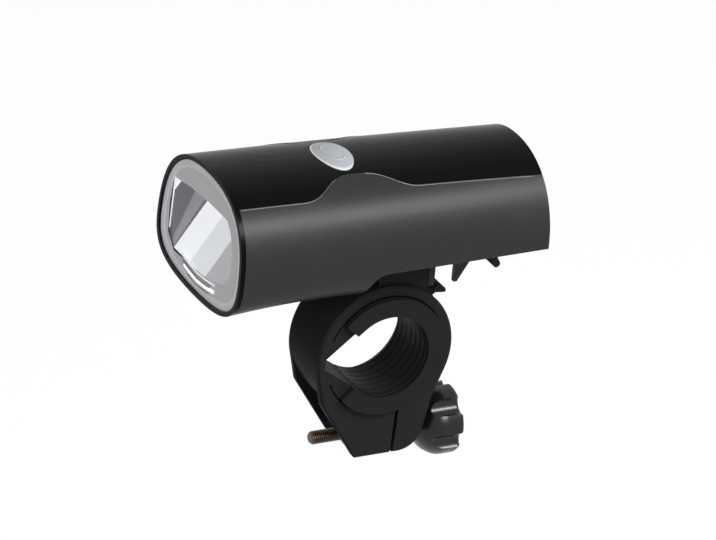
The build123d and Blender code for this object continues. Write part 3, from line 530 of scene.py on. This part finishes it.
def makeLiner():                                # the node's own form, with a lead-in at its far end
    mesh = nodes["bar_liner"].data.copy()
    mesh.materials.clear()
    piece = addPiece("linerWithLeadIn", mesh, "clamp", "liner_rubber", finishes["bar_liner"], "bar_liner")
    sides = liner["sides"]
    ends = ((liner["farX"], liner["radius"]), (liner["endX"], liner["endRadius"]))
    points = [(x, y, z) for x, radius in ends for y, z in circle(radius, sides)]
    faces = tubeFaces(2, sides) + [tuple(range(sides)), tuple(reversed(range(sides, 2 * sides)))]
    tool = bpy.data.objects.new("leadIn", meshOf("leadIn", points, faces))
    bpy.context.scene.collection.objects.link(tool)
    shape = bmesh.new()
    shape.from_mesh(tool.data)
    bmesh.ops.recalc_face_normals(shape, faces=shape.faces[:])
    shape.to_mesh(tool.data)
    shape.free()
    cut = piece.modifiers.new("leadIn", "BOOLEAN")
    cut.operation = "DIFFERENCE"
    cut.solver = "EXACT"
    cut.object = tool
    bpy.context.view_layer.update()
    result = bpy.data.meshes.new_from_object(piece.evaluated_get(bpy.context.evaluated_depsgraph_get()))
    piece.modifiers.clear()
    piece.data = result
    bpy.data.objects.remove(tool)


sleeve = {"radius": 15.85, "from": -10.0, "to": 14.72, "flare": 0.55, "ridges": 7,
          "ridgeDepth": 0.12, "sharpness": 3, "reach": 122.0, "turns": 72, "across": 70}
# the painted shadow strip along the liner flange's edge
rim = {"radius": 22.75, "width": 0.42, "x": 12.24, "height": 0.12, "reach": 158.0, "steps": 96}


def makeSleeve():                               # the bore's skin, with faint ridges round it; its darker rubber is painted shade
    v = sleeve
    points = []
    for i in range(v["turns"] + 1):
        angle = math.radians(v["reach"]) * (2 * i / v["turns"] - 1)
        for k in range(v["across"] + 1):
            share = k / v["across"]
            x = v["from"] + (v["to"] - v["from"]) * share
            wave = max(0, math.sin(2 * math.pi * v["ridges"] * share)) ** v["sharpness"]
            flare = max(0, x - (v["to"] - v["flare"]))
            radius = v["radius"] + v["ridgeDepth"] * wave + flare
            points.append((x, radius * math.cos(angle), radius * math.sin(angle)))
    faces = tubeFaces(v["turns"] + 1, v["across"] + 1, closed=False)
    mesh = meshOf("boreSleeve", points, faces, smooth=True)
    addPiece("boreSleeve", mesh, "clamp", "liner_rubber", plastic("shadedBore"))


def makeRimShadowLines():                             # painted shadow: a dark strip on the ring where the liner's flange meets it
    v = rim
    for side, name in ((1, "rimShadowLineNear"), (-1, "rimShadowLineFar")):
        points = []
        for i in range(v["steps"] + 1):
            angle = math.radians(v["reach"]) * (2 * i / v["steps"] - 1)
            outer = v["radius"] + v["width"]
            for radius, lift in ((v["radius"], 0), (v["radius"], v["height"]), (outer, v["height"]),
                                 (outer, 0)):
                points.append((side * (v["x"] + lift), radius * math.cos(angle), radius * math.sin(angle)))
        mesh = meshOf(name, points, tubeFaces(v["steps"] + 1, 4, closed=False))
        addPiece(name, mesh, "clamp", "clamp_plastic", plastic("shadowGap"))


# one plated material for each painted reflection tone
paintedReflectionPlatings = {tone: chrome(tone) for tone in paintedReflectionTones}
seamHighlightPlastic = plastic("lip")
threadedScrew()
makeReflector()
makeLensBand()
makeSeamLips()
makeLiner()
makeSleeve()
makeRimShadowLines()
print("stage: screw, reflector, lens band, seams and liner")

view = {                                        # fitted to the rims in the photograph, in pixels and degrees
    "azimuth": 61.5, "elevation": 26.05, "roll": 5.0, "focal": 5000.0, "distance": 1.781,
    "boreX": 370.2, "boreY": 339.5, "width": 716, "height": 540, "far": 20,
}


def makeCamera():
    azimuth, elevation, roll = (math.radians(view[n]) for n in ("azimuth", "elevation", "roll"))
    back = Vector((math.sin(azimuth) * math.cos(elevation), -math.cos(azimuth) * math.cos(elevation),
                   math.sin(elevation)))
    right = Vector((math.cos(azimuth), math.sin(azimuth), 0))
    up = back.cross(right)
    across = right * math.cos(roll) + up * math.sin(roll)
    upward = up * math.cos(roll) - right * math.sin(roll)
    perPixel = view["distance"] / view["focal"]
    place = (back * view["distance"] - across * (view["boreX"] - view["width"] / 2) * perPixel
             + upward * (view["boreY"] - view["height"] / 2) * perPixel)
    camera = bpy.data.cameras.new("camera")
    camera.lens = view["focal"] * camera.sensor_width / view["width"]
    camera.clip_end = view["far"]
    holder = bpy.data.objects.new("camera", camera)
    holder.matrix_world = Matrix.Translation(place) @ Matrix((across, upward, back)).transposed().to_4x4()
    bpy.context.scene.collection.objects.link(holder)
    bpy.context.scene.camera = holder


lamps = {                                       # place, target and size in metres, power in watts
    "topLight": {"at": (0.25, -0.35, 1.5), "to": (0, 0, 0.05), "size": (0.9, 0.9), "power": 10},
    "sideLight": {"at": (1.4, -0.1, 0.95), "to": (0, 0, 0.0), "size": (0.8, 0.8), "power": 33},
    "sheenLight": {"at": (0.9, 0.55, 1.0), "to": (0, 0, 0.05), "size": (1.1, 0.45), "power": 36},
}


def makeLamps():
    for name, values in lamps.items():
        light = bpy.data.lights.new(name, "AREA")
        light.shape = "RECTANGLE"
        light.size, light.size_y = values["size"]
        light.energy = values["power"]
        holder = bpy.data.objects.new(name, light)
        at = Vector(values["at"])
        aim = (at - Vector(values["to"])).to_track_quat("Z", "Y").to_matrix().to_4x4()
        holder.matrix_world = Matrix.Translation(at) @ aim
        bpy.context.scene.collection.objects.link(holder)


def seenDirectly(shade):                        # 1 for rays that show the background
    path = shade.node("ShaderNodeLightPath", out="Is Camera Ray")
    links = path.socket.node.outputs
    shine = Value(shade.tree, links["Is Glossy Ray"])
    through = Value(shade.tree, links["Is Transmission Ray"])
    return path.atLeast(shine).atLeast(through)


white = (1, 1, 1, 1)
sky = {"lit": 0.035, "seen": 0.965}
ground = {"half": 6.0, "height": -0.30, "colour": (0.86, 0.86, 0.86, 1), "rough": 0.9, "specular": 0.1,
          "seen": 0.94}


def makeWorld():
    world = bpy.data.worlds.new("studio")
    world.use_nodes = True
    world.node_tree.nodes.clear()
    shade = Value(world.node_tree)
    strength = seenDirectly(shade) * sky["seen"] + sky["lit"]
    surface = shade.node("ShaderNodeBackground", inputs={"Color": white, "Strength": strength})
    bpy.context.scene.world = finish(world, surface, "ShaderNodeOutputWorld")


def makeFloor():
    mesh = bpy.data.meshes.new("floor")
    half, height = ground["half"], ground["height"]
    mesh.from_pydata([(-half, -half, height), (half, -half, height), (half, half, height),
                      (-half, half, height)], [], [(0, 1, 2, 3)])
    material, shade = newMaterial("floorPale")
    pale = shade.node("ShaderNodeBsdfPrincipled", inputs={
        "Base Color": ground["colour"], "Roughness": ground["rough"],
        "Specular IOR Level": ground["specular"]})
    bright = shade.node("ShaderNodeEmission", inputs={"Color": white, "Strength": 1.0})
    mesh.materials.append(finish(material, shade.node("ShaderNodeMixShader", inputs={
        0: seenDirectly(shade) * ground["seen"], 1: pale, 2: bright})))
    floor = bpy.data.objects.new("floor", mesh)
    bpy.context.scene.collection.objects.link(floor)


makeCamera()
makeLamps()
makeWorld()
makeFloor()
bpy.context.scene.view_settings.view_transform = "Standard"
print("stage: camera, lamps and floor")
